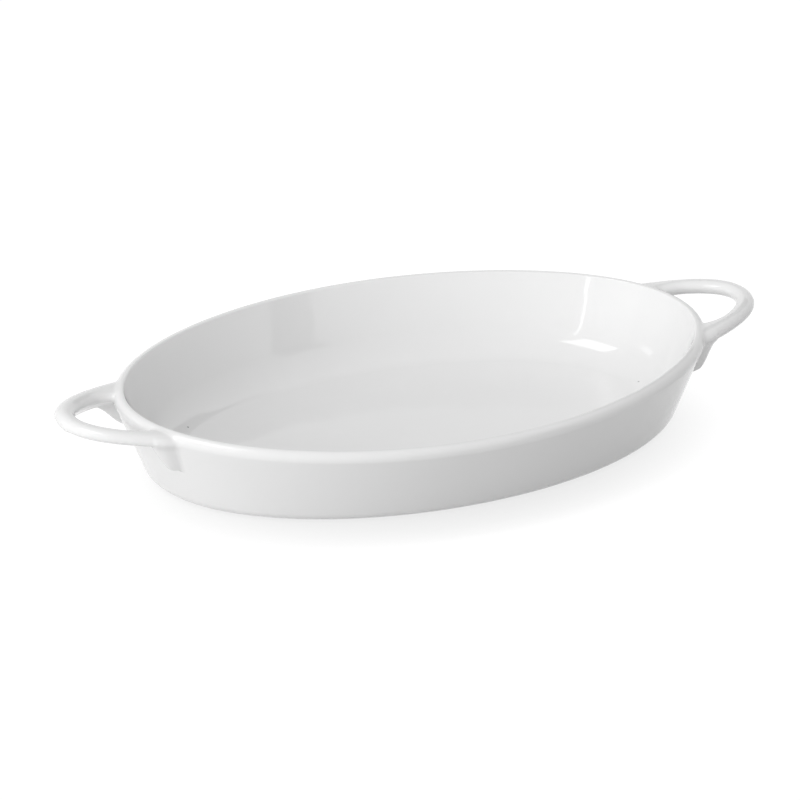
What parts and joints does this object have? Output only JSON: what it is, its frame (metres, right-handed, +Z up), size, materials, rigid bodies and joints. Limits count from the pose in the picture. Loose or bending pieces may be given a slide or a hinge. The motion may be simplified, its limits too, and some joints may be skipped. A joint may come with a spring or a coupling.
{
  "type": "baking dish",
  "caption": "Oval glazed porcelain baking dish with flared walls, a rounded lip, a flat floor on a foot ring and a tilted loop handle at each end, for baking and serving.",
  "frame": {"origin": "on the table, under the middle of the dish", "axes": "+X along the dish towards the right handle, +Y across it towards one long side, +Z up out of the dish"},
  "size_m": [0.3312, 0.1826, 0.0415],
  "materials": {
    "body_glaze": "clear gloss glaze over white porcelain",
    "handle_left_glaze": "clear gloss glaze over white porcelain",
    "handle_right_glaze": "clear gloss glaze over white porcelain"
  },
  "bodies": {
    "root": {"dish_body": "body_glaze", "handle_left": "handle_left_glaze", "handle_right": "handle_right_glaze"}
  },
  "joints": []
}
